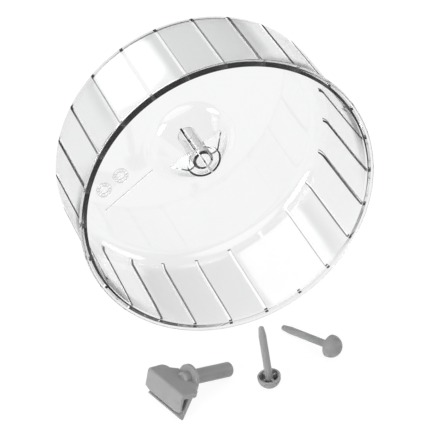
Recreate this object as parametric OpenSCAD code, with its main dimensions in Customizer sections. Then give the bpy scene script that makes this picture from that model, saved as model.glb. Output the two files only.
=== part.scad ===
// Exercise wheel kit for a small rodent, laid out loose on a table.
// A clear moulded running drum stands on its rim. In front of it lie the wire clip
// with its axle and two mushroom headed retaining pins.
// Y runs along the wheel, from its open front to its back wall. Z is up.
// The origin is the mouth of the hub bore at the back of the wheel.
// Lengths are millimetres and angles are degrees.

/* [Running drum] */
// Outer diameter of the front rim
rim_d = 145; // [120:1:180]
// Width of the rim lip outside the drum
rim_lip = 2.2; // [1.8:0.1:4]
// Thickness of the rim lip along the wheel
rim_t = 1.6; // [1.2:0.1:2.4]
// Depth of the drum from its front rim to its back face
drum_depth = 58; // [50:0.5:72]
// Thickness of the drum, the back wall and the hub cone
wall = 1.2; // [1:0.1:1.8]
// Radius of the rounded back corner, on the outside
corner_r = 9; // [6:0.5:12]
// Moulding taper of the drum wall
draft = 0.8; // [0.3:0.1:1.2]
// Number of slots in the running surface
slot_n = 24; // [16:1:30]
// Width of one slot
slot_w = 1.8; // [1:0.1:2.5]
// Distance from the front rim to the start of a slot
slot_front = 1.8; // [1.8:0.1:6]
// Distance from the back face to the end of a slot
slot_back = 5; // [4:0.5:12]
// Rest angle of the wheel about its axle
wheel_turn = 0; // [0:1:14]

/* [Hub] */
// Distance from the front rim back to the tip of the hub cone
tip_setback = 36.8; // [30:0.2:40]
// Radius of the cone where its side would meet the tip plane
tip_r = 8.4; // [7.6:0.1:10]
// Half angle of the hub cone
cone_angle = 29.5; // [20:0.5:34]
// Rounding of the edge of the tip
tip_round = 1.6; // [1.4:0.1:2]
// Fillet between the cone and the back wall
cone_fillet = 5; // [3:0.5:8]
// Radial clearance between the hub bore and the axle
axle_gap = 0.08; // [0.02:0.01:0.1]
// Wall of the bearing tube at its back end
tube_wall = 1; // [0.8:0.1:1.6]
// How much thicker the bearing tube is behind the tip
tube_swell = 0.5; // [0.2:0.1:1]
// How far the bearing tube stands out behind the back face
tube_out = 4.4; // [2:0.2:8]
// Radial clearance round a pin head in its seat
seat_gap = 0.3; // [0.2:0.05:0.5]
// Depth of the seat for a pin head
seat_depth = 0.8; // [0.4:0.1:1]
// Thickness left under the seat
seat_floor = 1.2; // [0.8:0.1:2]
// Thickness of the four webs behind the tip
web_t = 1; // [0.8:0.1:1.6]
// Length of the webs behind the tip
web_len = 12.8; // [8:0.2:16]
// Turn of the webs about the wheel's axis, seen from the open front
web_turn = 60; // [0:1:89]

/* [Moulding marks] */
// Outer diameter of a mould dial on the inside of the back wall
dial_d = 8; // [6:0.5:9]
// Height of the raised lines
dial_h = 0.25; // [0.15:0.05:0.4]
// Width of the raised lines
dial_line = 0.5; // [0.3:0.05:0.6]
// Number of ticks on a dial
dial_ticks = 12; // [6:1:16]
// First dial, to the left of the wheel's axis
dial_left = 44.6; // [40:0.2:48]
// First dial, below the wheel's axis
dial_below = 17.8; // [14:0.2:20]
// Step from the first dial to the second, to the right
dial_step_right = 8.6; // [8.6:0.2:9.6]
// Step from the first dial to the second, upward
dial_step_up = 6.2; // [5.6:0.2:7]
// Distance from the left dial down to the raised line
mark_below = 12; // [9:0.5:14]
// Length of the raised line below the dials
mark_len = 32; // [20:0.5:34]

/* [Wire clip] */
// Length of the clip along the cage wires
clip_len = 25.8; // [20:0.2:32]
// Height of the front plate
plate_h = 10.2; // [8:0.1:11]
// Length of the cut at the lower corners of the front plate
plate_cut = 3.1; // [1.5:0.1:4]
// Height of the cut at the lower corners of the front plate
plate_cut_h = 1; // [0.6:0.1:2]
// Thickness of the front and the back plate
plate_t = 1.6; // [1.2:0.1:2]
// Slope of the front face, which thins the front plate towards its lower edge
front_slope = 3.5; // [0:0.5:5]
// Rounding of the edge between the front plate and the top
front_round = 1; // [0.3:0.1:1.1]
// Thickness of the top plate
top_t = 2.4; // [1.6:0.1:3]
// Clear width of the wire channel under the top plate
channel_w = 3.6; // [3:0.1:4.2]
// Slope of the back plate
back_slope = 14; // [6:1:15]
// Depth of the lip below the top face
lip_depth = 13.9; // [13.6:0.1:16]
// How far the lip's nose stays behind the front face
nose_back = 0.9; // [0:0.1:1.4]
// Height of the slit that lets a wire in, below the front plate
slit_h = 1.2; // [0.8:0.1:1.6]
// How far the lip stops short of the clip's left end
lip_short = 2.6; // [0.5:0.1:4]
// Distance from the front plate to the back edge of the ears
ear_reach = 10.3; // [9:0.1:12]
// How far the ears stand out past the ends of the front plate
ear_flare = 0.4; // [0.2:0.1:2]
// Rounding of the ears
ear_round = 3; // [1.5:0.1:3.5]
// Width of the neck where it meets the collar
neck_w = 15.4; // [11:0.2:16]
// How much wider the neck is on each side where it leaves the ears
neck_flare = 2.1; // [0.5:0.1:2.5]

/* [Axle] */
// Diameter of the axle
axle_d = 7.1; // [6.4:0.1:7.4]
// How far the axle's end stays below the seat in the hub tip
axle_short = 0.6; // [0.4:0.1:2.4]
// Diameter of the collar that the hub runs against
collar_d = 13.2; // [11.5:0.1:15]
// Thickness of the collar
collar_t = 1.4; // [1:0.1:2]
// Distance from the front plate to the collar
collar_at = 13.6; // [13.2:0.1:16]
// Depth of the axle's centre line below the top face
axle_drop = 0.9; // [0.8:0.1:2.4]
// Length of the axle's root in front of the collar
root_len = 4; // [2.5:0.1:4.5]
// Rounding of both ends of the axle
axle_round = 1.3; // [0.6:0.1:1.5]
// Wall left between the pin bore and the root end
root_wall = 1; // [1:0.1:2]

/* [Retaining pins] */
// Diameter of a pin's shank
shank_d = 3.6; // [3:0.1:4]
// Play of the wheel between the collar and a pin's head
head_play = 0.7; // [0.2:0.1:1.5]
// Length of the tapered end
taper_len = 5.5; // [4:0.5:8]
// Diameter of the tip
point_d = 2.7; // [1.8:0.1:2.9]
// Outer diameter of the head
head_d = 11; // [10:0.1:11.6]
// Straight skirt of the head below its rim
skirt = 0.7; // [0.5:0.1:1.6]
// Wall of the hollow head
head_wall = 0.9; // [0.7:0.1:1.2]
// Extra radius of the shank's foot inside the head
shank_root = 0.4; // [0.2:0.1:0.8]
// Flat left on the crown of the head, as a depth cut from the dome
crown_cut = 0.5; // [0.2:0.05:0.6]
// Thickness of the four webs inside the head
head_web_t = 0.8; // [0.6:0.1:1.2]
// How far the webs stay below the rim
head_web_drop = 0.7; // [0.5:0.1:2]
// Radial clearance between a pin's shank and its bore in the axle
pin_clear = 0.05; // [0.02:0.01:0.1]

/* [Layout on the table] */
// Place of the clip's lip, to the right of the wheel's centre
clip_x = -48.5; // [-60:0.1:-40]
// Place of the clip's lip, in front of the rim
clip_front = 45.3; // [36:0.1:70]
// Turn of the clip about the vertical
clip_turn = 18.9; // [0:0.1:40]
// Place of the standing pin, to the right of the wheel's centre
standing_x = 1.7; // [-6:0.1:12]
// Place of the standing pin, in front of the rim
standing_front = 47.1; // [30:0.1:60]
// Lean of the standing pin to the left
standing_left = 7.8; // [0:0.2:12]
// Lean of the standing pin to the back
standing_back = 1; // [0:0.5:10]
// Turn of the standing pin about its own axis
standing_turn = 18; // [0:1:89]
// Place of the lying pin's tip, to the right of the wheel's centre
lying_x = 23; // [18:0.1:40]
// Place of the lying pin's tip, in front of the rim
lying_front = 10; // [6:0.1:40]
// Turn of the lying pin, from straight left to straight back
lying_turn = 60.9; // [40:0.1:70]

/* [Hidden] */

// Overlap that joins shapes of one solid, and the overshoot of a cut
eps = 0.4;
// Facets of large rounds and of small ones
fn_big = 180;
fn_small = 48;

// Share of a dial's radius that its inner ring has
dial_inner = 0.6;

rim_r = rim_d / 2;
drum_r = rim_r - rim_lip;
wall_in_y = drum_depth - wall;
axle_r = axle_d / 2;
bore_r = axle_r + axle_gap;
tube_r = bore_r + tube_wall;
tube_end_y = drum_depth + tube_out;
head_r = head_d / 2;
seat_r = head_r + seat_gap;
seat_y = tip_setback + seat_depth;
boss_r = seat_r + wall;
boss_end_y = seat_y + seat_floor;

// Outward normal of the cone's side, as radius and depth
cone_n = [cos(cone_angle), -sin(cone_angle)];
// Centre of the rounding at the tip's edge
tip_c = [tip_r - tip_round * (1 - sin(cone_angle)) / cos(cone_angle), tip_setback + tip_round];
// Centre of the fillet between the cone and the back wall
fillet_c = [
    tip_r + (cone_fillet + (wall_in_y - cone_fillet - tip_setback) * sin(cone_angle)) / cos(cone_angle),
    wall_in_y - cone_fillet
];

// Centres of the two rounds that the wheel stands on: the rim bead and the back corner
bead_c = [rim_r - rim_t / 2, rim_t / 2];
corner_c = [corner_centre_r(drum_r, drum_depth, corner_r), drum_depth - corner_r];
stand_dy = corner_c.y - bead_c.y;
stand_dr = corner_c.x - bead_c.x;
// The wheel leans back until the bead and the corner both touch the table
wheel_lean = asin((rim_t / 2 - corner_r) / norm([stand_dy, stand_dr])) - atan2(stand_dr, stand_dy);
table_z = -((bead_c.y - tube_end_y) * sin(wheel_lean) + bead_c.x * cos(wheel_lean) + rim_t / 2);
// Where the front rim's plane meets the table
rim_foot_y = -tube_end_y * cos(wheel_lean) - rim_r * sin(wheel_lean);

axle_len = tube_end_y - seat_y - axle_short;
axle_end_x = collar_at + collar_t + axle_len;
root_x = collar_at - root_len;
pin_bore_r = shank_d / 2 + pin_clear;
pin_bore_depth = axle_end_x - root_x - root_wall;

// Back plate of the clip: its inner and outer lines at any depth below the top face
channel_top_x = plate_t + channel_w;
function back_in_x(depth) = channel_top_x - (depth - top_t) * tan(back_slope);
function back_out_x(depth) = back_in_x(depth) + plate_t / cos(back_slope);
lip_round = 0.7;
nose_round = 0.5;
lip_c = [back_out_x(lip_depth - lip_round) - lip_round / cos(back_slope), -(lip_depth - lip_round)];
nose_c = [nose_back + nose_round, -(plate_h + slit_h + nose_round)];

// Height of the axle's centre line above the centre of the lip's round
lip_drop = -lip_c.y - axle_drop;
// The clip lies on the end of its lip and on the rounded end of its axle
clip_dx = lip_c.x - (axle_end_x - axle_round);
clip_dz = lip_drop - (axle_r - axle_round);
clip_pitch = atan2(clip_dx, clip_dz) + acos((axle_round - lip_round) / norm([clip_dx, clip_dz]));

point_r = point_d / 2;
// A pin meets the end of its bore just before its head meets the seat
shank_len = pin_bore_depth + axle_short + head_play;
crown_r = sqrt(pow(head_r, 2) - pow(head_r - crown_cut, 2));
// Tilt of the standing pin and the height of its dome's centre above the table
standing_tilt = acos(cos(standing_left) * cos(standing_back));
standing_h = (head_r - crown_cut) * cos(standing_tilt) + crown_r * sin(standing_tilt);
// The lying pin rests on the rim of its head and on its rounded tip
lying_arm = shank_len - point_r;
lying_pitch = acos(point_r / norm([lying_arm, head_r])) - atan2(lying_arm, head_r);

// Radius at which the drum's back corner has its centre
function corner_centre_r(front_r, depth, corner) =
    front_r - (depth - corner) * tan(draft) - corner / cos(draft);

// Half section of a round bowl that opens at depth 0, filled
module bowl_section(front_r, depth, corner) {
    c = [corner_centre_r(front_r, depth, corner), depth - corner];
    polygon([
        [0, 0],
        [front_r, 0],
        c + corner * [cos(draft), sin(draft)],
        c,
        [0, c.y]
    ]);
    square([c.x, depth]);
    translate(c) circle(corner, $fn = fn_small);
}

// Half section of everything behind the front face of the hub, moved inward by an offset
module hub_section(inset) {
    difference() {
        polygon([
            [0, tip_setback + inset],
            [tip_c.x, tip_setback + inset],
            tip_c + (tip_round - inset) * cone_n,
            fillet_c - (cone_fillet + inset) * cone_n,
            fillet_c,
            [fillet_c.x, drum_depth + eps],
            [0, drum_depth + eps]
        ]);
        translate(fillet_c) circle(cone_fillet + inset, $fn = fn_small);
    }
    translate(tip_c) circle(tip_round - inset, $fn = fn_small);
}

// Half section of the bearing tube, thicker towards the tip, with the boss that holds the seat
module tube_section() {
    polygon([
        [bore_r, tip_setback + eps],
        [tube_r + tube_swell, tip_setback + eps],
        [tube_r, tube_end_y],
        [bore_r, tube_end_y]
    ]);
    translate([0, tip_setback]) square([boss_r, boss_end_y - tip_setback]);
}

// Half section of the rim lip with its rounded edge
module rim_section() {
    translate([drum_r - wall / 2, 0]) square([bead_c.x - drum_r + wall / 2, rim_t]);
    translate(bead_c) circle(rim_t / 2, $fn = fn_small);
}

module wheel_section() {
    difference() {
        union() {
            difference() {
                bowl_section(drum_r, drum_depth, corner_r);
                difference() {
                    bowl_section(drum_r - wall / cos(draft), wall_in_y, corner_r - wall);
                    hub_section(0);
                }
                hub_section(wall);
            }
            tube_section();
            rim_section();
        }
        translate([0, tip_setback - eps]) square([bore_r, tube_end_y]);
        translate([0, tip_setback - eps]) square([seat_r, seat_depth + eps]);
    }
}

// One web between the bearing tube and the cone
module hub_web() {
    reach = fillet_c - (cone_fillet + wall / 2) * cone_n;
    web_end = tip_setback + web_len;
    slope = tan(cone_angle);
    outer_r = tip_c.x + (tip_round - wall / 2) / cos(cone_angle) + (web_end - tip_c.y) * slope;
    web_r = min(outer_r, reach.x);
    rotate([90, 0, 0])
        linear_extrude(web_t, center = true)
            polygon([
                [tube_r - tube_wall / 2, boss_end_y - eps],
                [tip_c.x, boss_end_y - eps],
                tip_c + (tip_round - wall / 2) * cone_n,
                [web_r, web_end],
                [tube_r - tube_wall / 2, web_end]
            ]);
}

// One dial: two rings with ticks between them, and a pointer
module dial() {
    ring_r = dial_d / 2;
    inner_r = ring_r * dial_inner;
    for (r = [ring_r, inner_r])
        difference() {
            cylinder(dial_h + eps, r = r, $fn = fn_small);
            translate([0, 0, -eps]) cylinder(dial_h + 3 * eps, r = r - dial_line, $fn = fn_small);
        }
    for (i = [0 : dial_ticks - 1])
        rotate(i * 360 / dial_ticks)
            translate([inner_r - dial_line / 2, -dial_line / 2, 0])
                cube([ring_r - inner_r, dial_line, dial_h + eps]);
    translate([-inner_r + dial_line / 2, -dial_line / 2, 0])
        cube([inner_r, dial_line, dial_h + eps]);
}

// The raised marks on the inside of the back wall
module moulding_marks() {
    slant = atan2(dial_step_up, dial_step_right);
    translate([0, 0, wall_in_y - dial_h]) {
        for (i = [0, 1])
            translate([-dial_left + i * dial_step_right, dial_below - i * dial_step_up, 0])
                rotate(-slant)
                    dial();
        translate([-dial_left, dial_below + mark_below, 0])
            rotate(-slant)
                cube([mark_len, dial_line, dial_h + eps]);
    }
}

// All slots of the running surface
module slots() {
    slot_len = drum_depth - slot_back - slot_front;
    reach = 2 * (wall + rim_lip);
    for (i = [0 : slot_n - 1])
        rotate(i * 360 / slot_n)
            translate([drum_r - reach / 2 - wall, -slot_w / 2, slot_front])
                cube([reach, slot_w, slot_len]);
}

// The wheel about its own axis, with its front rim at height 0
module wheel_upright() {
    difference() {
        rotate_extrude($fn = fn_big) wheel_section();
        slots();
    }
    for (i = [0 : 3])
        rotate(web_turn + 90 * i) hub_web();
    moulding_marks();
}

module wheel() {
    color([0.86, 0.89, 0.9, 0.35])
        rotate([-wheel_lean, 0, 0])
            translate([0, -tube_end_y, 0])
                rotate([-90, 0, 0])
                    rotate(-wheel_turn)
                        wheel_upright();
}

// Cross section of the clip's bent plates: across the wires and up
module clip_section() {
    foot_top = -(plate_h + slit_h);
    polygon([
        [front_round, 0],
        [plate_t, 0],
        [plate_t, -plate_h],
        [(plate_h - front_round) * tan(front_slope), -plate_h],
        [0, -front_round]
    ]);
    translate([front_round, -front_round]) circle(front_round, $fn = fn_small);
    polygon([
        [channel_top_x, -top_t / 2],
        [back_out_x(top_t / 2), -top_t / 2],
        [back_out_x(-lip_c.y), lip_c.y],
        [lip_c.x, lip_c.y - lip_round],
        nose_c - nose_round * [cos(45), sin(45)],
        [nose_c.x, foot_top],
        [back_in_x(plate_h), -plate_h]
    ]);
    translate(lip_c) circle(lip_round, $fn = fn_small);
    translate(nose_c) circle(nose_round, $fn = fn_small);
}

// Plan of the top plate with its two ears and the neck to the collar
module top_plan() {
    half = clip_len / 2;
    ear_y = half + ear_flare - ear_round;
    ear_x = ear_reach - ear_round;
    neck_y = neck_w / 2 + neck_flare;
    polygon([
        [front_round, -half],
        [plate_t, -half],
        [ear_x, -ear_y - ear_round],
        [ear_x, ear_y + ear_round],
        [plate_t, half],
        [front_round, half]
    ]);
    translate([front_round, -ear_y]) square([ear_reach - front_round, 2 * ear_y]);
    for (side = [-1, 1])
        translate([ear_x, side * ear_y]) circle(ear_round, $fn = fn_small);
    polygon([
        [ear_x, -neck_y],
        [ear_reach, -neck_y],
        [collar_at + eps, -neck_w / 2],
        [collar_at + eps, neck_w / 2],
        [ear_reach, neck_y],
        [ear_x, neck_y]
    ]);
}

// Half section of the axle about its own axis, from the root to the free end
module axle_section() {
    translate([0, root_x]) square([axle_r - axle_round, axle_end_x - root_x]);
    translate([0, root_x + axle_round]) square([axle_r, axle_end_x - root_x - 2 * axle_round]);
    for (end_x = [root_x + axle_round, axle_end_x - axle_round])
        translate([axle_r - axle_round, end_x]) circle(axle_round, $fn = fn_small);
    translate([0, collar_at]) square([collar_d / 2, collar_t]);
}

// The two corners cut from the front plate's lower edge
module plate_cuts() {
    half = clip_len / 2;
    for (side = [-1, 1])
        translate([-eps, 0, 0])
            rotate([90, 0, 90])
                linear_extrude(plate_t + 2 * eps)
                    polygon([
                        [side * (half - plate_cut), -plate_h],
                        [side * half, -plate_h + plate_cut_h],
                        [side * (half + eps), -plate_h + plate_cut_h],
                        [side * (half + eps), -plate_h - slit_h / 2],
                        [side * (half - plate_cut), -plate_h - slit_h / 2]
                    ]);
}

// The piece left out of the lip at the clip's left end
module lip_cut() {
    half = clip_len / 2;
    translate([-eps, half - lip_short, -lip_depth - eps])
        cube([channel_top_x + eps, lip_short + eps, lip_depth + eps - plate_h - slit_h / 2]);
}

// The clip in its own frame: front plate at x 0, top face at z 0, axle along x
module clip_upright() {
    difference() {
        union() {
            difference() {
                rotate([90, 0, 0]) linear_extrude(clip_len, center = true) clip_section();
                plate_cuts();
                lip_cut();
            }
            translate([0, 0, -top_t]) linear_extrude(top_t) top_plan();
            translate([0, 0, -axle_drop])
                rotate([0, 90, 0])
                    rotate_extrude($fn = fn_small * 2) axle_section();
        }
        translate([axle_end_x - pin_bore_depth, 0, -axle_drop])
            rotate([0, 90, 0])
                cylinder(pin_bore_depth + eps, r = pin_bore_r, $fn = fn_small);
    }
}

module wire_clip() {
    color([0.62, 0.63, 0.64])
        translate([clip_x, rim_foot_y - clip_front, table_z + lip_round])
            rotate([0, clip_pitch, clip_turn])
                translate([-lip_c.x, 0, -lip_c.y])
                    clip_upright();
}

// Half section of a pin about its own axis: rim of the head at height 0, shank upward
module pin_section() {
    polygon([
        [0, -skirt - head_r + crown_cut + head_wall / 2],
        [shank_d / 2 + shank_root, -skirt - head_r + crown_cut + head_wall / 2],
        [shank_d / 2, 0],
        [shank_d / 2, shank_len - taper_len],
        [point_r, shank_len - point_r],
        [0, shank_len - point_r]
    ]);
    intersection() {
        translate([0, shank_len - point_r]) circle(point_r, $fn = fn_small);
        translate([0, shank_len - point_r]) square(point_r);
    }
    difference() {
        union() {
            translate([0, -skirt]) square([head_r, skirt]);
            intersection() {
                translate([0, -skirt]) circle(head_r, $fn = fn_small * 2);
                translate([0, -skirt - head_r + crown_cut]) square([head_r, head_r]);
            }
        }
        translate([0, -skirt]) square([head_r - head_wall, skirt + eps]);
        intersection() {
            translate([0, -skirt]) circle(head_r - head_wall, $fn = fn_small * 2);
            translate([0, -skirt - head_r + crown_cut + head_wall]) square([head_r, head_r]);
        }
    }
}

// A pin in its own frame, with the centre of its dome at the origin
module pin_upright() {
    web_h = head_r + skirt - head_web_drop - head_wall;
    translate([0, 0, skirt]) {
        rotate_extrude($fn = fn_small * 2) pin_section();
        intersection() {
            for (i = [0, 90])
                rotate(i)
                    translate([-head_r, -head_web_t / 2, -head_web_drop - web_h])
                        cube([head_d, head_web_t, web_h]);
            translate([0, 0, -skirt]) {
                cylinder(skirt, r = head_r - head_wall / 2, $fn = fn_small * 2);
                sphere(head_r - head_wall / 2, $fn = fn_small * 2);
            }
        }
    }
}

module standing_pin() {
    color([0.6, 0.6, 0.61])
        translate([standing_x, rim_foot_y - standing_front, table_z + standing_h])
            rotate([-standing_back, -standing_left, 0])
                rotate(standing_turn)
                    pin_upright();
}

module lying_pin() {
    color([0.6, 0.6, 0.61])
        translate([lying_x, rim_foot_y - lying_front, table_z + point_r])
            rotate([0, 0, 180 - lying_turn])
                rotate([0, 90 + lying_pitch, 0])
                    translate([0, 0, -skirt - lying_arm])
                        pin_upright();
}

wheel();
wire_clip();
standing_pin();
lying_pin();
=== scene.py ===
"""Looks of a small rodent's exercise wheel, laid out loose beside its clip and its two pins.

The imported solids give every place. The clear wheel is replaced by one clean closed surface,
worked out from its half section. The clip and the pins keep the meshes of their solids and
get a moulded grey finish with softened edges. The wheel's sizes and the small depths in the
finishes are written in millimetres. Everything else, and every mesh, is in metres.
"""

from __future__ import annotations

import logging
import math
from dataclasses import dataclass, field
from enum import Enum

import bpy
import numpy as np
from mathutils import Matrix


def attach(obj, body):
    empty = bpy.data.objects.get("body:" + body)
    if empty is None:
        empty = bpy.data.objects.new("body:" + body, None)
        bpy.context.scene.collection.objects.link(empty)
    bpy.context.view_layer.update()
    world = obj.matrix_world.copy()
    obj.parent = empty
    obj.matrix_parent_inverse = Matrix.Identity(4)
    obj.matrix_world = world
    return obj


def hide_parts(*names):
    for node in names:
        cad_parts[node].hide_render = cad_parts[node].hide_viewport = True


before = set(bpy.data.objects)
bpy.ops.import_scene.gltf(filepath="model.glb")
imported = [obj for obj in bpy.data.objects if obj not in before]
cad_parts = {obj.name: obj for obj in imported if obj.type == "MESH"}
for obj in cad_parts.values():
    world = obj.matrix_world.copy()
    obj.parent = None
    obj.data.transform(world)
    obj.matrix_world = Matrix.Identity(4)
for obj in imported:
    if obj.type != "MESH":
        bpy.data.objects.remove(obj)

MM = 0.001
# Face layers the clear finish reads: the dull share, and the dark share of painted shade.
FACE_LAYERS = ("dull", "dark")
CRISP_ANGLE = math.radians(32.0)
FULL_TURN = 2 * math.pi
RING_STEPS = 64

Pair = tuple[float, float]
Place = tuple[float, float, float]
Colour = tuple[float, float, float, float]
Surface = tuple[np.ndarray, np.ndarray]
Socket = bpy.types.NodeSocket

log = logging.getLogger("exercise_wheel")


class Ray(Enum):
    """Outputs of the light path node that the studio surfaces and the clear plastic read."""

    CAMERA = "Is Camera Ray"
    SHADOW = "Is Shadow Ray"
    DIFFUSE = "Is Diffuse Ray"
    GLOSSY = "Is Glossy Ray"
    TRANSMISSION = "Is Transmission Ray"


class Face(Enum):
    """Kinds of face on the clear wheel, with the dull share and the dark share of each.

    The dark share is painted shade: it paints the slots' front end walls almost black, their
    other walls half dark and the marks slightly dark, where the clear plastic only looks dark.
    """

    CLEAR = (0.0, 0.0)
    # Painted shade: slot walls and marks are darkened by their dark share, second of each pair.
    SLOT_END = (0.97, 1.0)
    SLOT_SIDE = (0.15, 0.5)
    MARK = (0.15, 0.15)

    @property
    def number(self) -> int:
        """The kind's place in the list, which its faces carry until the weld."""
        return list(Face).index(self)


def grey(tone: float) -> Colour:
    """An opaque grey of one tone."""
    return (tone, tone, tone, 1.0)


class NodeSheet:
    """A material's or the world's node tree, with short calls to add and join nodes."""

    def __init__(self, tree: bpy.types.NodeTree) -> None:
        """Empties a node tree and keeps it."""
        self.tree = tree
        tree.nodes.clear()

    def add(self, kind: str, inputs: dict | None = None, **settings: object) -> bpy.types.Node:
        """Adds a node.

        Args:
            kind: the node's type.
            inputs: numbers or sockets for its inputs, by the input's name or number.
            settings: the node's own settings.

        Returns:
            The new node.
        """
        node = self.tree.nodes.new(kind)
        for name, value in settings.items():
            setattr(node, name, value)
        for key, value in (inputs or {}).items():
            if isinstance(value, Socket):
                self.tree.links.new(value, node.inputs[key])
            else:
                node.inputs[key].default_value = value
        return node

    def maths(self, operation: str, first: Socket | float, second: Socket | float) -> Socket:
        """Adds a maths node on two numbers or sockets, and returns its result's socket."""
        node = self.add("ShaderNodeMath", {0: first, 1: second}, operation=operation)
        return node.outputs[0]

    def blend(self, share: Socket, first: Colour, second: Colour) -> Socket:
        """Mixes two colours, a mix node's inputs 6 and 7, by the share of the second one."""
        node = self.add("ShaderNodeMix", {0: share, 6: first, 7: second}, data_type="RGBA")
        return node.outputs[2]

    def ramp(self, share: Socket, stops: tuple) -> Socket:
        """Adds a colour ramp with two stops.

        Args:
            share: the socket of the place on the ramp.
            stops: place and colour of each stop.

        Returns:
            The socket of the colour.
        """
        node = self.add("ShaderNodeValToRGB", {0: share})
        for stop, (place, colour) in zip(node.color_ramp.elements, stops):
            stop.position = place
            stop.color = colour
        return node.outputs[0]

    def seen_by(self, *rays: Ray) -> Socket:
        """Tells the named kinds of ray from all others, by the greatest of their outputs.

        Args:
            rays: the kinds of ray.

        Returns:
            A socket that is 1 for these rays and 0 for others.
        """
        path = self.add("ShaderNodeLightPath")
        total = path.outputs[rays[0].value]
        for ray in rays[1:]:
            total = self.maths("MAXIMUM", total, path.outputs[ray.value])
        return total


@dataclass(frozen=True)
class ClearPlastic:
    """Clear moulded polystyrene: glossy, very slightly grey, with faint waves from the mould."""

    name: str = "clear_polystyrene"
    tint: Colour = (0.995, 0.998, 1.0, 1.0)
    # Painted shade: the dark colour that the slots' walls and the marks are painted towards.
    shade: Colour = (0.022, 0.022, 0.023, 1.0)
    ior: float = 1.5
    roughness: float = 0.03
    worn_roughness: float = 0.06
    dull_roughness: float = 0.35
    wave_scale: float = 45.0
    wave_detail: float = 1.0
    wave_depth: float = 0.02
    wave_strength: float = 0.2
    scuff_scale: float = 160.0
    scuff_detail: float = 4.0
    scuff_range: Pair = (0.3, 0.75)
    absorption: float = 56.0
    lamp_share: float = 0.97

    def build(self) -> bpy.types.Material:
        """Makes the material: refracting plastic that lets the lamps' light through.

        The mesh's face attributes dull and dark say how much of a face is dull instead of clear,
        and how far its colour goes from the plastic's tint to a dark shade. That dark shade is
        painted shade on the slots' walls and the marks.

        Returns:
            The material.
        """
        material = bpy.data.materials.new(self.name)
        material.use_nodes = True
        sheet = NodeSheet(material.node_tree)
        place = sheet.add("ShaderNodeTexCoord").outputs["Object"]
        waves = sheet.add(
            "ShaderNodeTexNoise",
            {"Vector": place, "Scale": self.wave_scale, "Detail": self.wave_detail},
        )
        bump = sheet.add(
            "ShaderNodeBump",
            {
                "Strength": self.wave_strength,
                "Distance": self.wave_depth * MM,
                "Height": waves.outputs[0],
            },
        )
        scuffs = sheet.add(
            "ShaderNodeTexNoise",
            {"Vector": place, "Scale": self.scuff_scale, "Detail": self.scuff_detail},
        )
        rough = sheet.add(
            "ShaderNodeMapRange",
            {
                "Value": scuffs.outputs[0],
                "From Min": self.scuff_range[0],
                "From Max": self.scuff_range[1],
                "To Min": self.roughness,
                "To Max": self.worn_roughness,
            },
        )
        dull, dark = (
            sheet.add("ShaderNodeAttribute", attribute_name=name).outputs["Fac"]
            for name in FACE_LAYERS
        )
        matt = sheet.maths("MULTIPLY", dull, self.dull_roughness)
        plastic = sheet.add(
            "ShaderNodeBsdfPrincipled",
            {
                # Base colour: the tint, painted towards the dark shade by the dark share (painted
                # shade).
                "Base Color": sheet.blend(dark, self.tint, self.shade),
                "IOR": self.ior,
                "Transmission Weight": sheet.maths("SUBTRACT", 1.0, dull),
                "Roughness": sheet.maths("ADD", rough.outputs[0], matt),
                "Normal": bump.outputs[0],
            },
        )
        passing = sheet.add("ShaderNodeBsdfTransparent", {"Color": grey(self.lamp_share)})
        lit = sheet.seen_by(Ray.SHADOW, Ray.DIFFUSE)
        mix = sheet.add(
            "ShaderNodeMixShader", {0: lit, 1: plastic.outputs[0], 2: passing.outputs[0]}
        )
        smoke = sheet.add(
            "ShaderNodeVolumeAbsorption", {"Color": grey(0.0), "Density": self.absorption}
        )
        sheet.add(
            "ShaderNodeOutputMaterial", {"Surface": mix.outputs[0], "Volume": smoke.outputs[0]}
        )
        return material


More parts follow.
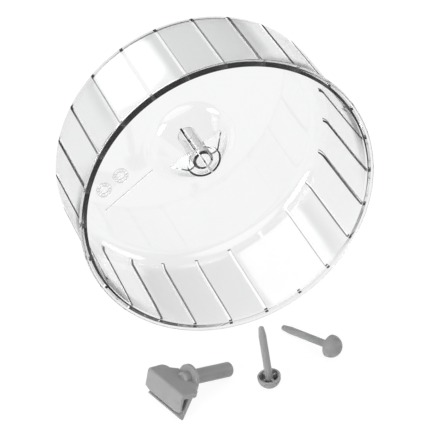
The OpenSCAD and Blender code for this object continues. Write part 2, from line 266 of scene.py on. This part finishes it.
@dataclass(frozen=True)
class MouldedGrey:
    """Opaque grey polypropylene with a fine satin grain and faint flow marks."""

    name: str
    tone: tuple[float, float, float]
    roughness: Pair = (0.37, 0.49)
    specular: float = 0.45
    ior: float = 1.49
    grain_scale: float = 2600.0
    grain_detail: float = 2.0
    grain_depth: float = 0.012
    grain_strength: float = 0.35
    flow_scale: float = 70.0
    flow_detail: float = 3.0
    flow_twist: float = 0.8
    flow_change: float = 0.05
    flow_range: Pair = (0.3, 0.7)
    edge_radius: float = 0.15
    edge_samples: int = 8
    depth_glow: float = 0.5
    glow_reach: float = 1.5

    def build(self) -> bpy.types.Material:
        """Makes the material: base colour with slight flow marks, satin grain, soft edges.

        Returns:
            The material.
        """
        material = bpy.data.materials.new(self.name)
        material.use_nodes = True
        sheet = NodeSheet(material.node_tree)
        place = sheet.add("ShaderNodeTexCoord").outputs["Object"]
        flow = sheet.add(
            "ShaderNodeTexNoise",
            {
                "Vector": place,
                "Scale": self.flow_scale,
                "Detail": self.flow_detail,
                "Distortion": self.flow_twist,
            },
        )
        stops = tuple(
            (at, (*(part * (1.0 + change) for part in self.tone), 1.0))
            for at, change in zip(self.flow_range, (-self.flow_change, self.flow_change))
        )
        grain = sheet.add(
            "ShaderNodeTexNoise",
            {"Vector": place, "Scale": self.grain_scale, "Detail": self.grain_detail},
        )
        edge = sheet.add(
            "ShaderNodeBevel", {"Radius": self.edge_radius * MM}, samples=self.edge_samples
        )
        bump = sheet.add(
            "ShaderNodeBump",
            {
                "Strength": self.grain_strength,
                "Distance": self.grain_depth * MM,
                "Height": grain.outputs[0],
                "Normal": edge.outputs[0],
            },
        )
        rough = sheet.add(
            "ShaderNodeMapRange",
            {
                "Value": flow.outputs[0],
                "To Min": self.roughness[0],
                "To Max": self.roughness[1],
            },
        )
        shell = sheet.add(
            "ShaderNodeBsdfPrincipled",
            {
                "Base Color": sheet.ramp(flow.outputs[0], stops),
                "Roughness": rough.outputs[0],
                "Specular IOR Level": self.specular,
                "Subsurface Weight": self.depth_glow,
                "Subsurface Radius": (1.0, 1.0, 1.0),
                "Subsurface Scale": self.glow_reach * MM,
                "IOR": self.ior,
                "Normal": bump.outputs[0],
            },
        )
        sheet.add("ShaderNodeOutputMaterial", {"Surface": shell.outputs[0]})
        return material


def arc(centre: Pair, radius: float, start: float, stop: float, count: int) -> np.ndarray:
    """An arc's count + 1 points: centre plus radius times the angle's cosine and sine."""
    turn = np.radians(np.linspace(start, stop, count + 1))
    return np.array(centre) + radius * np.stack([np.cos(turn), np.sin(turn)], axis=1)


def line(start: Pair, stop: Pair, count: int) -> np.ndarray:
    """A straight line's count + 1 points: start and stop, mixed by an even share."""
    share = np.linspace(0.0, 1.0, count + 1)[:, None]
    return np.array(start) * (1.0 - share) + np.array(stop) * share


def add_mesh(name: str, points: np.ndarray, quads: np.ndarray) -> bpy.types.Object:
    """Puts a surface of quads into the scene, shaded smooth apart from its crisp edges.

    Args:
        name: the object's name.
        points: an n by 3 array of places in metres.
        quads: an m by 4 array of corner numbers.

    Returns:
        The new object, at the origin.
    """
    mesh = bpy.data.meshes.new(name)
    mesh.vertices.add(len(points))
    mesh.vertices.foreach_set("co", points.astype(np.float32).ravel())
    mesh.loops.add(quads.size)
    mesh.loops.foreach_set("vertex_index", quads.astype(np.int32).ravel())
    mesh.polygons.add(len(quads))
    mesh.polygons.foreach_set("loop_start", np.arange(0, quads.size, 4, dtype=np.int32))
    mesh.update(calc_edges=True)
    mesh.validate()
    mesh.shade_smooth()
    mesh.set_sharp_from_angle(angle=CRISP_ANGLE)
    piece = bpy.data.objects.new(name, mesh)
    bpy.context.scene.collection.objects.link(piece)
    return piece


def outward(points: np.ndarray, quads: np.ndarray) -> np.ndarray:
    """Turns all quads of one closed solid outward.

    A sixth of the sum of the corner triangles' triple products is the solid's volume, which
    is negative when the quads look inward.

    Args:
        points: the solid's places.
        quads: its corner numbers.

    Returns:
        The quads, reversed if they looked inward.
    """
    a, b, c, d = (points[quads[:, i]] for i in range(4))
    volume = np.einsum("ij,ij->", a, np.cross(b, c)) + np.einsum("ij,ij->", a, np.cross(c, d))
    return quads[:, ::-1] if volume < 0 else quads


def block(outline: np.ndarray, low: float, high: float) -> Surface:
    """A block over a flat outline of four points, from one height to another.

    Args:
        outline: four places in a plane.
        low: height of the first face.
        high: height of the second face.

    Returns:
        Its eight points, as across, along and height, and its six quads.
    """
    points = np.vstack(
        [np.column_stack([outline, np.full(4, height)]) for height in (low, high)]
    )
    quads = np.array(
        [[3, 2, 1, 0], [4, 5, 6, 7], [0, 1, 5, 4], [1, 2, 6, 5], [2, 3, 7, 6], [3, 0, 4, 7]]
    )
    return points, outward(points, quads)


def bar(start: np.ndarray, stop: np.ndarray, width: float) -> np.ndarray:
    """Outline of a straight bar: both ends moved by half the width to either side.

    Args:
        start: the middle of the bar's first end.
        stop: the middle of its other end.
        width: the bar's width.

    Returns:
        The four corners.
    """
    way = stop - start
    side = np.array([-way[1], way[0]]) / np.linalg.norm(way) * width / 2
    return np.array([start - side, stop - side, stop + side, start + side])


def ring(middle: np.ndarray, radius: float, width: float, low: float, high: float) -> Surface:
    """A flat ring: its four edge circles are the middle plus radius times cosine and sine.

    Args:
        middle: the ring's middle in its plane.
        radius: its outer radius.
        width: its width.
        low: height of its first face.
        high: height of its second face.

    Returns:
        Its points, as across, along and height, and its quads.
    """
    turn = np.arange(RING_STEPS) * FULL_TURN / RING_STEPS
    inner = radius - width
    edges = np.array([(radius, low), (radius, high), (inner, high), (inner, low)])
    points = np.stack(
        [
            middle[0] + edges[:, :1] * np.cos(turn),
            middle[1] + edges[:, :1] * np.sin(turn),
            np.repeat(edges[:, 1:], RING_STEPS, axis=1),
        ],
        axis=2,
    ).reshape(-1, 3)
    quads = cells_between(len(edges), RING_STEPS).reshape(-1, 4)
    return points, outward(points, quads)


def cells_between(rows: int, columns: int) -> np.ndarray:
    """Corner numbers of the cells of a grid that closes on itself both ways.

    Point number row times columns plus column is joined to its neighbours in the next row
    and the next column, where the last is followed by the first.

    Args:
        rows: number of rows.
        columns: number of columns.

    Returns:
        A rows by columns by 4 array.
    """
    number = np.arange(rows * columns).reshape(rows, columns)
    below = np.roll(number, -1, axis=0)
    return np.stack(
        [number, below, np.roll(below, -1, axis=1), np.roll(number, -1, axis=1)], axis=2
    )


def gather(solids: list[Surface]) -> Surface:
    """Puts several solids into one pair of arrays, each one's numbers after the last's.

    Args:
        solids: points and quads of each solid.

    Returns:
        All points and all quads.
    """
    starts = np.cumsum([0] + [len(points) for points, _ in solids])
    quads = [quads + start for (_, quads), start in zip(solids, starts)]
    return np.vstack([points for points, _ in solids]), np.vstack(quads)


@dataclass
class RunningWheel:
    """The clear wheel: a slotted drum with a rim, a back wall and a hollow hub.

    Its points are worked out about its own axis, in millimetres of radius and of depth from
    the open front, and then put in the place where the wheel stands.
    """

    # Rim, drum and back wall. The flare and the inner gain thicken the drum behind the rim.
    rim_r: float = 72.5
    lip: float = 2.2
    lip_t: float = 1.6
    depth: float = 58.0
    wall: float = 1.2
    corner: float = 9.0
    draft: float = 0.8
    flare: float = 0.9
    flare_len: float = 1.4
    inner_gain: float = 0.4
    inner_gain_len: float = 10.0

    # Slots, from slot_front behind the open side to slot_back before the back face.
    slot_count: int = 24
    slot_width: float = 1.6
    slot_front: float = 1.8
    slot_back: float = 5.0
    slot_slant: float = 1.6

    # Hub: a hollow cone with its tip forward, the bearing tube, a pin head's seat, the webs.
    tip_setback: float = 36.8
    tip_r: float = 8.4
    tip_round: float = 1.6
    cone_angle: float = 29.5
    cone_fillet: float = 7.5
    bore_r: float = 3.63
    tube_wall: float = 1.0
    tube_swell: float = 0.5
    tube_out: float = 4.4
    seat_r: float = 5.75
    seat_depth: float = 0.8
    seat_floor: float = 1.2
    web_count: int = 4
    web_t: float = 1.0
    web_len: float = 12.8
    web_turn: float = 60.0

    # Raised mould marks on the back wall's inner face: two dials and a line below them.
    dial_d: float = 8.0
    dial_inner: float = 0.6
    dial_h: float = 0.25
    dial_line: float = 0.5
    dial_ticks: int = 12
    dial_left: float = 44.6
    dial_below: float = 17.8
    dial_step: Pair = (8.6, 6.2)
    mark_below: float = 12.0
    mark_len: float = 32.0

    # Steps of the section's runs, of a slot and of the tread between two slots.
    lip_steps: int = 3
    bead_steps: int = 10
    flare_steps: int = 2
    drum_steps: int = 8
    bend_steps: int = 5
    corner_steps: int = 10
    back_steps: int = 12
    fillet_steps: int = 12
    cone_steps: int = 8
    tip_steps: int = 8
    hollow_steps: int = 6
    hollow_tip_steps: int = 4
    tube_steps: int = 6
    slot_steps: int = 2
    tread_steps: int = 12

    # How far webs and marks start inside the walls, the wheel's lean, and its plastic.
    overlap: float = 0.4
    lean: float = 3.4082373
    finish: ClearPlastic = field(default_factory=ClearPlastic)

    @property
    def slope(self) -> float:
        """How much the drum's radius shrinks for each millimetre of depth."""
        return math.tan(math.radians(self.draft))

    def wall_run(
        self, radius: float, corner: float, slant: float = 0.0
    ) -> tuple[np.ndarray, np.ndarray]:
        """One side of the drum's wall from the front to the back face.

        The wall is a straight tapering line up to the corner's circle, then its arc. The
        circle's centre lies inward of the line by its radius over the draft's cosine.

        Args:
            radius: the wall's radius at the front.
            corner: the radius of its corner.
            slant: how much further back than the inside this side's slots end.

        Returns:
            The points along the slots, and the points of the rest of the corner.
        """
        middle_y = self.depth - self.corner
        fall = middle_y * self.slope + corner / math.cos(math.radians(self.draft))
        centre = (radius - fall, middle_y)
        touch = arc(centre, corner, self.draft, self.draft, 0)[0]
        end = self.depth - self.slot_back + slant
        end_angle = math.degrees(math.asin((end - middle_y) / corner))
        near = self.lip_t + self.flare_len
        front = (radius - self.slot_front * self.slope, self.slot_front)
        foot = (radius - near * self.slope, near)
        flared = line(front, foot, self.flare_steps)
        straight = line(foot, touch, self.drum_steps)
        bend = arc(centre, corner, self.draft, end_angle, self.bend_steps)
        rest = arc(centre, corner, end_angle, 90.0, self.corner_steps)
        return np.vstack([flared, straight[1:], bend[1:]]), rest

    def thicken(self, run: np.ndarray) -> np.ndarray:
        """Raises the drum's outer side next to the rim, less and less with the depth."""
        share = np.clip(1.0 - (run[:, 1] - self.lip_t) / self.flare_len, 0.0, 1.0)
        return run + np.column_stack([self.flare * share, np.zeros(len(run))])

    def thicken_inside(self, run: np.ndarray) -> np.ndarray:
        """Brings the drum's inner side in a little, more and more behind the rim."""
        share = np.clip((run[:, 1] - self.slot_front) / self.inner_gain_len, 0.0, 1.0)
        return run - np.column_stack([self.inner_gain * share, np.zeros(len(run))])

    def cone(self) -> tuple[np.ndarray, np.ndarray]:
        """Both sides of the hub's cone, each two arcs that a straight line joins.

        The tip's arc and the foot's fillet touch the cone's line, so their centres lie off
        it by their radius, and the inner side's arcs have the same centres.

        Returns:
            The outer side from tip to foot, and the hollow side from foot to tip.
        """
        sine = math.sin(math.radians(self.cone_angle))
        cosine = math.cos(math.radians(self.cone_angle))
        back_in = self.depth - self.wall
        tip = (
            self.tip_r - self.tip_round * (1 - sine) / cosine,
            self.tip_setback + self.tip_round,
        )
        reach = self.cone_fillet + (back_in - self.cone_fillet - self.tip_setback) * sine
        fillet = (self.tip_r + reach / cosine, back_in - self.cone_fillet)
        side = -self.cone_angle
        cone_tip = arc(tip, self.tip_round, -90.0, side, self.tip_steps)
        cone_foot = arc(fillet, self.cone_fillet, side + 180.0, 90.0, self.fillet_steps)
        hollow_foot = arc(
            fillet, self.cone_fillet + self.wall, 90.0, side + 180.0, self.fillet_steps
        )
        hollow_tip = arc(
            tip, self.tip_round - self.wall, side, -90.0, self.hollow_tip_steps
        )
        outer = [cone_tip, line(cone_tip[-1], cone_foot[0], self.cone_steps)[1:], cone_foot[1:]]
        hollow = [
            hollow_foot,
            line(hollow_foot[-1], hollow_tip[0], self.hollow_steps)[1:],
            hollow_tip[1:],
        ]
        return np.vstack(outer), np.vstack(hollow)

    def section(self) -> tuple[np.ndarray, int, int]:
        """Half section of the whole wheel as one closed loop of radius and depth.

        It runs over the rim, back along the outside, in over the hub's hollow and its bore,
        and forward again over the cone and the inside, so the plastic is on its left.

        Returns:
            The loop's points, and the numbers of the first slot point outside and inside.
        """
        drum_r = self.rim_r - self.lip
        inner_r = drum_r - self.wall / math.cos(math.radians(self.draft))
        bead = (self.rim_r - self.lip_t / 2, self.lip_t / 2)
        lip_foot = (drum_r - self.lip_t * self.slope, self.lip_t)
        outside, outside_corner = self.wall_run(drum_r, self.corner, self.slot_slant)
        outside = self.thicken(outside)
        inside, inside_corner = (
            self.thicken_inside(run) for run in self.wall_run(inner_r, self.corner - self.wall)
        )
        cone, hollow = self.cone()
        back_in = self.depth - self.wall
        boss_r = self.seat_r + self.wall
        seat_y = self.tip_setback + self.seat_depth
        boss_y = seat_y + self.seat_floor
        tube_end = self.depth + self.tube_out
        tube_r = self.bore_r + self.tube_wall
        root_r = tube_r + self.tube_swell * (tube_end - boss_y) / (tube_end - self.tip_setback)
        runs = [
            line((inner_r, 0.0), (bead[0], 0.0), self.lip_steps)[:-1],
            arc(bead, self.lip_t / 2, -90.0, 90.0, self.bead_steps),
            self.thicken(np.array([lip_foot])),
            outside,
            outside_corner[1:],
            line(outside_corner[-1], hollow[0], self.back_steps)[1:],
            hollow[1:],
            [(boss_r, self.tip_setback + self.wall), (boss_r, boss_y), (root_r, boss_y)],
            line((root_r, boss_y), (tube_r, tube_end), self.tube_steps)[1:],
            line((self.bore_r, tube_end), (self.bore_r, seat_y), self.tube_steps),
            [(self.seat_r, seat_y), (self.seat_r, self.tip_setback)],
            cone,
            line(cone[-1], (inside_corner[-1][0], back_in), self.back_steps)[1:],
            inside_corner[::-1][1:],
            inside[::-1][1:],
        ]
        starts = np.cumsum([0] + [len(run) for run in runs])
        return np.vstack(runs), int(starts[3]), int(starts[-1])

    def angles(self) -> tuple[np.ndarray, int]:
        """Angles of the grid, with narrow steps in each slot and even ones between slots.

        They are those of one slot and its tread plus each whole number of pitches. Half a
        slot's angle is half its width over the drum's radius.

        Returns:
            The angles, starting at the middle of a slot less half its width, and the number
            of steps from one slot to the next.
        """
        pitch = FULL_TURN / self.slot_count
        half = self.slot_width / 2 / (self.rim_r - self.lip)
        opening = np.linspace(-half, half, self.slot_steps + 1)[:-1]
        tread = np.linspace(half, pitch - half, self.tread_steps + 1)[:-1]
        one = np.concatenate([opening, tread])
        turns = np.arange(self.slot_count)[:, None] * pitch
        return (turns + one[None, :]).ravel(), len(one)

    def grid(self) -> tuple[np.ndarray, np.ndarray, np.ndarray]:
        """The whole wheel about its own axis, with the slots cut through the drum.

        A point is the section's radius times the cosine and sine of the grid's angle, at the
        section's depth. Cells of a slot are left out, and its four walls join the outside
        of the drum to the inside.

        Returns:
            The points in millimetres, the quads, and the number of each quad's kind.
        """
        loop, first_out, last_in = self.section()
        turn, step = self.angles()
        rows, columns = len(loop), len(turn)
        points = np.stack(
            [
                loop[:, :1] * np.cos(turn),
                np.repeat(loop[:, 1:], columns, axis=1),
                loop[:, :1] * np.sin(turn),
            ],
            axis=2,
        ).reshape(-1, 3)
        cells = cells_between(rows, columns)
        number = cells[:, :, 0]
        run = self.flare_steps + self.drum_steps + self.bend_steps
        outside = first_out + np.arange(run + 1)
        inside = (last_in - 1 - np.arange(run + 1)) % rows
        column = np.arange(columns)
        in_slot = column % step < self.slot_steps
        keep = np.ones((rows, columns), bool)
        keep[np.ix_(outside[:-1], column[in_slot])] = False
        keep[np.ix_(inside[1:], column[in_slot])] = False
        # The slots' walls take kinds whose dark share paints shade on them: painted shade.
        walls = [(cells[keep], Face.CLEAR)]
        for edge, ahead in ((0, False), (self.slot_steps, True)):
            at = column[column % step == edge]
            out_near, out_far = number[np.ix_(outside[:-1], at)], number[np.ix_(outside[1:], at)]
            in_near, in_far = number[np.ix_(inside[:-1], at)], number[np.ix_(inside[1:], at)]
            wall = np.stack([out_near, out_far, in_far, in_near], axis=2).reshape(-1, 4)
            walls.append((wall[:, ::-1] if ahead else wall, Face.SLOT_SIDE))
        here = column[in_slot]
        after = (here + 1) % columns
        # Front end walls are painted almost black (painted shade), back end walls like the sides.
        for end, ahead, kind in ((0, False, Face.SLOT_END), (run, True, Face.SLOT_SIDE)):
            out_row, in_row = number[outside[end]], number[inside[end]]
            wall = np.stack([out_row[here], out_row[after], in_row[after], in_row[here]], axis=1)
            walls.append((wall if ahead else wall[:, ::-1], kind))
        quads = np.vstack([wall for wall, _ in walls])
        kinds = np.concatenate([np.full(len(wall), kind.number) for wall, kind in walls])
        return points, quads, kinds

    def webs(self) -> Surface:
        """The webs that hold the bearing tube inside the hollow cone.

        Each is a thin block between the middle of the tube's wall and the middle of the
        cone's wall, turned about the axis by an equal share of a turn from the last.

        Returns:
            The points in millimetres and the quads.
        """
        angle = math.radians(self.cone_angle)
        middle = self.wall / 2 / math.cos(angle)
        start = self.tip_setback + self.seat_depth + self.seat_floor - self.overlap
        end = self.tip_setback + self.web_len
        inner = self.bore_r + self.tube_wall / 2
        outer = [
            self.tip_r - middle + (at - self.tip_setback) * math.tan(angle) for at in (start, end)
        ]
        outline = np.array([(inner, start), (outer[0], start), (outer[1], end), (inner, end)])
        points, quads = block(outline, -self.web_t / 2, self.web_t / 2)
        solids = []
        for share in np.arange(self.web_count) / self.web_count:
            turn = -math.radians(self.web_turn + 360 * share)
            across = points[:, 0] * math.cos(turn) - points[:, 2] * math.sin(turn)
            up = points[:, 0] * math.sin(turn) + points[:, 2] * math.cos(turn)
            web = np.column_stack([across, points[:, 1], up])
            solids.append((web, outward(web, quads)))
        return gather(solids)

    def dials(self) -> tuple[tuple[np.ndarray, np.ndarray], np.ndarray]:
        """Places of the two mould dials, across and up on the back wall.

        Returns:
            The middles of the dials, and the direction from the first to the second, in
            which both of them point.
        """
        step = np.array(self.dial_step)
        first = np.array([-self.dial_left, -self.dial_below])
        return (first, first + step), step / np.linalg.norm(step)

    def raise_marks(self, solids: list[Surface]) -> Surface:
        """Turns marks drawn across, up and in height into solids on the back wall.

        Args:
            solids: points and quads of each mark, with the wall's face at height 0.

        Returns:
            The points in millimetres about the wheel's axis, and the quads.
        """
        points, quads = gather(solids)
        depth = self.depth - self.wall - points[:, 2]
        return np.column_stack([points[:, 0], depth, points[:, 1]]), quads

    def rings(self) -> Surface:
        """The outer and the inner ring of each dial.

        Returns:
            The points in millimetres and the quads.
        """
        middles, _ = self.dials()
        solids = [
            ring(middle, self.dial_d / 2 * share, self.dial_line, -self.overlap, self.dial_h)
            for middle in middles
            for share in (1.0, self.dial_inner)
        ]
        return self.raise_marks(solids)

    def ticks(self) -> Surface:
        """The ticks between the rings, the dials' pointers and the line below the dials.

        A tick is a bar between both rings along a spoke, which is the dials' direction times
        the cosine of its angle plus the direction square to it times the sine.

        Returns:
            The points in millimetres and the quads.
        """
        inner = self.dial_d / 2 * self.dial_inner - self.dial_line / 2
        outer = self.dial_d / 2 - self.dial_line / 2
        middles, way = self.dials()
        side = np.array([-way[1], way[0]])
        bars = []
        for middle in middles:
            for turn in np.arange(self.dial_ticks) * FULL_TURN / self.dial_ticks:
                spoke = way * math.cos(turn) + side * math.sin(turn)
                bars.append((middle + spoke * inner, middle + spoke * outer))
            bars.append((middle - way * (inner - self.dial_line / 4), middle))
        start = middles[0] - np.array([0.0, self.mark_below])
        bars.append((start, start + way * self.mark_len))
        solids = [
            block(bar(near, far, self.dial_line), -self.overlap, self.dial_h)
            for near, far in bars
        ]
        return self.raise_marks(solids)

    def weld(self, piece: bpy.types.Object, tools: list[bpy.types.Object]) -> None:
        """Joins closed solids to a piece as one surface and keeps the result as its mesh.

        Args:
            piece: the piece that grows.
            tools: the objects to join to it, which are removed afterwards.
        """
        for tool in tools:
            joint = piece.modifiers.new(tool.name, "BOOLEAN")
            joint.operation = "UNION"
            joint.solver = "MANIFOLD"
            joint.object = tool
        depsgraph = bpy.context.evaluated_depsgraph_get()
        welded = bpy.data.meshes.new_from_object(piece.evaluated_get(depsgraph))
        piece.modifiers.clear()
        piece.data = welded
        for tool in tools:
            bpy.data.objects.remove(tool)

    def sort_faces(self, piece: bpy.types.Object) -> None:
        """Moves each face's kind from its material's number to the layers the finish reads: the
        dull share, and the dark share of painted shade.

        Args:
            piece: the welded wheel, with one material slot for each kind of face.
        """
        mesh = piece.data
        number = np.zeros(len(mesh.polygons), np.int32)
        mesh.polygons.foreach_get("material_index", number)
        shares = np.array([face.value for face in Face], np.float32)
        for name, share in zip(FACE_LAYERS, shares.T):
            layer = mesh.attributes.new(name, "FLOAT", "FACE")
            layer.data.foreach_set("value", share[number])
        mesh.polygons.foreach_set("material_index", np.zeros_like(number))
        while len(mesh.materials) > 1:
            mesh.materials.pop()

    def stand(self, points: np.ndarray) -> np.ndarray:
        """Takes the hub's back mouth from each place and turns the result by the lean."""
        turn = np.array(Matrix.Rotation(math.radians(-self.lean), 3, "X"))
        return (points - (0.0, self.depth + self.tube_out, 0.0)) @ turn.T * MM

    def build(self) -> None:
        """Builds the wheel's surface, dresses it and puts it in the place of its solid."""
        points, quads, kinds = self.grid()
        piece = add_mesh("clear_wheel", self.stand(points), quads)
        tools = []
        # The webs stay clear; the rings and ticks take the marks' slight painted shade.
        extras = (
            ("webs", self.webs(), Face.CLEAR),
            ("rings", self.rings(), Face.MARK),
            ("ticks", self.ticks(), Face.MARK),
        )
        clear = self.finish.build()
        numbers = [kinds]
        for name, (more, faces), kind in extras:
            tools.append(add_mesh(name, self.stand(more), faces))
            numbers.append(np.full(len(faces), kind.number))
        for part, number in zip((piece, *tools), numbers):
            for _ in Face:
                part.data.materials.append(clear)
            part.data.polygons.foreach_set("material_index", number.astype(np.int32))
        self.weld(piece, tools)
        self.sort_faces(piece)
        piece.data.shade_smooth()
        piece.data.set_sharp_from_angle(angle=CRISP_ANGLE)
        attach(piece, "wheel")
        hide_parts("wheel")
        log.info("wheel: %d points, %d faces", len(piece.data.vertices), len(piece.data.polygons))


@dataclass
class GreyMoulding:
    """A solid of the frame that keeps its own mesh and gets a moulded finish."""

    node: str
    finish: MouldedGrey

    def dress(self) -> None:
        """Assigns the finish to every material slot of the solid."""
        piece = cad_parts[self.node]
        material = self.finish.build()
        if not piece.material_slots:
            piece.data.materials.append(material)
        for place in piece.material_slots:
            place.material = material
        log.info("%s: finished in %s", self.node, self.finish.name)


def look_along(way: np.ndarray) -> Matrix:
    """Turns a lamp's or a camera's own axes so that it looks along a direction, upright.

    The look is the direction, the right is the look crossed with the vertical, and the up
    is the right crossed with the look.

    Args:
        way: the direction.

    Returns:
        A 3 by 3 rotation.
    """
    look = way / np.linalg.norm(way)
    right = np.cross(look, (0.0, 0.0, 1.0))
    right /= np.linalg.norm(right)
    up = np.cross(right, look)
    return Matrix(np.stack([right, up, -look], axis=1).tolist())


@dataclass(frozen=True)
class Lamp:
    """One soft round lamp, aimed at the layout."""

    name: str
    place: Place
    size: float
    power: float
    aim: Place = (0.0, -0.05, 0.0)

    def build(self) -> None:
        """Adds the lamp, its face turned towards its aim."""
        data = bpy.data.lights.new(self.name, "AREA")
        data.shape = "DISK"
        data.size = self.size
        data.energy = self.power
        lamp = bpy.data.objects.new(self.name, data)
        way = np.array(self.aim) - np.array(self.place)
        lamp.matrix_world = Matrix.Translation(self.place) @ look_along(way).to_4x4()
        bpy.context.scene.collection.objects.link(lamp)


@dataclass(frozen=True)
class Panel:
    """One round bright panel in the surroundings, which the gloss of the pieces mirrors."""

    towards: Place
    half: float
    soft: float
    glow: float

    def brightness(self, sheet: NodeSheet, place: Socket) -> Socket:
        """Adds the panel's brightness in each direction.

        The cosine between the view's direction and the panel's rises from its value at the
        panel's soft edge to that at its even middle, and the glow rises smoothly with it.

        Args:
            sheet: the world's nodes.
            place: the socket of the direction.

        Returns:
            The socket of the brightness.
        """
        way = np.array(self.towards) / np.linalg.norm(self.towards)
        cosine = sheet.add(
            "ShaderNodeVectorMath", {0: place, 1: tuple(way)}, operation="DOT_PRODUCT"
        ).outputs["Value"]
        share = sheet.add(
            "ShaderNodeMapRange",
            {
                "Value": cosine,
                "From Min": math.cos(math.radians(self.half + self.soft)),
                "From Max": math.cos(math.radians(self.half)),
                "To Min": 0.0,
                "To Max": self.glow,
            },
            interpolation_type="SMOOTHSTEP",
        )
        return share.outputs[0]


@dataclass
class Studio:
    """Plain pale floor, white surroundings, soft lamps and the camera of the view."""

    floor_z: float = -0.06871107
    floor_half: float = 3.0
    paper: Colour = grey(0.93)
    seen_paper: Colour = grey(0.14)
    seen_glow: Colour = grey(0.9)
    mirrored_glow: float = 0.97
    direct_gain: float = 0.03
    soft_light: tuple = ((0.0, grey(0.42)), (0.6, grey(0.54)))
    room: tuple = ((0.03, grey(0.95)), (0.12, grey(0.11)))
    focal: float = 207.9142
    sensor: float = 36.0
    clip: Pair = (0.05, 20.0)
    eye: Place = (-0.3164108, -0.9602738, 0.6721066)
    look: Place = (0.26577976, 0.76991430, -0.58016644)
    panels: tuple[Panel, ...] = (
        Panel((-0.42, 0.77, 0.47), half=18.0, soft=4.0, glow=2.3),
        Panel((-0.15, -0.75, 0.6), half=18.0, soft=14.0, glow=1.6),
    )
    lamps: tuple[Lamp, ...] = (
        Lamp("key_lamp", (-1.2, -0.75, 0.42), size=0.7, power=13.0),
        Lamp("top_lamp", (0.3, 0.5, 1.3), size=0.8, power=3.5),
        Lamp("right_lamp", (1.2, -0.5, 0.5), size=0.7, power=4.0),
    )

    def camera(self) -> None:
        """Adds the camera at the worked out place and makes it the scene's own."""
        data = bpy.data.cameras.new("camera")
        data.sensor_fit = "HORIZONTAL"
        data.sensor_width = self.sensor
        data.lens = self.focal
        data.clip_start, data.clip_end = self.clip
        eye = bpy.data.objects.new("camera", data)
        eye.matrix_world = Matrix.Translation(self.eye) @ look_along(np.array(self.look)).to_4x4()
        bpy.context.scene.collection.objects.link(eye)
        bpy.context.scene.camera = eye

    def floor(self) -> None:
        """Adds the floor: white to the eye and through the plastic, and it keeps shadows.

        Rays that show the floor see a dark paper, which takes the shadows, plus a glow that
        makes it white. All other rays see plain pale paper.
        """
        half = self.floor_half
        corners = np.array([(-half, -half), (half, -half), (half, half), (-half, half)])
        points = np.column_stack([corners, np.full(len(corners), self.floor_z)])
        piece = add_mesh("floor", points, np.array([[0, 1, 2, 3]]))
        material = bpy.data.materials.new("floor_paper")
        material.use_nodes = True
        sheet = NodeSheet(material.node_tree)
        paper = sheet.add("ShaderNodeBsdfDiffuse", {"Color": self.paper})
        shade = sheet.add("ShaderNodeBsdfDiffuse", {"Color": self.seen_paper})
        straight = sheet.maths("MULTIPLY", sheet.seen_by(Ray.CAMERA), self.direct_gain)
        level = sheet.maths("ADD", straight, self.mirrored_glow)
        glow = sheet.add("ShaderNodeEmission", {"Color": self.seen_glow, "Strength": level})
        seen = sheet.add("ShaderNodeAddShader", {0: shade.outputs[0], 1: glow.outputs[0]})
        direct = sheet.seen_by(Ray.CAMERA, Ray.GLOSSY, Ray.TRANSMISSION)
        mix = sheet.add(
            "ShaderNodeMixShader", {0: direct, 1: paper.outputs[0], 2: seen.outputs[0]}
        )
        sheet.add("ShaderNodeOutputMaterial", {"Surface": mix.outputs[0]})
        piece.data.materials.append(material)

    def surroundings(self) -> None:
        """Sets the world: white to the eye, soft grey light for everything else.

        Gloss and clear plastic see a dim room that is pale near the horizon, plus the
        brightness of the panels.
        """
        world = bpy.data.worlds.new("studio")
        bpy.context.scene.world = world
        world.use_nodes = True
        sheet = NodeSheet(world.node_tree)
        white = sheet.add("ShaderNodeBackground", {"Color": grey(1.0), "Strength": 1.0})
        place = sheet.add("ShaderNodeTexCoord").outputs["Generated"]
        height = sheet.add("ShaderNodeSeparateXYZ", {0: place}).outputs["Z"]
        soft = sheet.ramp(height, self.soft_light)
        shine = sheet.ramp(height, self.room)
        for panel in self.panels:
            bright = panel.brightness(sheet, place)
            total = sheet.add("ShaderNodeVectorMath", {0: shine, 1: bright}, operation="ADD")
            shine = total.outputs[0]
        mirrored = sheet.add("ShaderNodeBackground", {"Color": shine, "Strength": 1.0})
        lighting = sheet.add("ShaderNodeBackground", {"Color": soft, "Strength": 1.0})
        clear = sheet.seen_by(Ray.GLOSSY, Ray.TRANSMISSION)
        other = sheet.add(
            "ShaderNodeMixShader", {0: clear, 1: lighting.outputs[0], 2: mirrored.outputs[0]}
        )
        mix = sheet.add(
            "ShaderNodeMixShader",
            {0: sheet.seen_by(Ray.CAMERA), 1: other.outputs[0], 2: white.outputs[0]},
        )
        sheet.add("ShaderNodeOutputWorld", {"Surface": mix.outputs[0]})

    def build(self) -> None:
        """Builds the floor, the surroundings, the lamps and the camera."""
        self.floor()
        self.surroundings()
        for lamp in self.lamps:
            lamp.build()
        self.camera()
        bpy.context.scene.view_settings.view_transform = "Standard"
        log.info("studio: %d lamps", len(self.lamps))


def main() -> None:
    logging.basicConfig(level=logging.INFO, format="%(name)s: %(message)s")
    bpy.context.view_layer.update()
    Studio().build()
    RunningWheel().build()
    clip_grey = MouldedGrey("clip_grey", tone=(0.33, 0.33, 0.335))
    pin_grey = MouldedGrey(
        "pin_grey", tone=(0.31, 0.31, 0.315), depth_glow=0.9, glow_reach=2.5
    )
    GreyMoulding("wire_clip", clip_grey).dress()
    GreyMoulding("standing_pin", pin_grey).dress()
    GreyMoulding("lying_pin", pin_grey).dress()
    log.info("all pieces are in place")


if __name__ == "__main__":
    main()
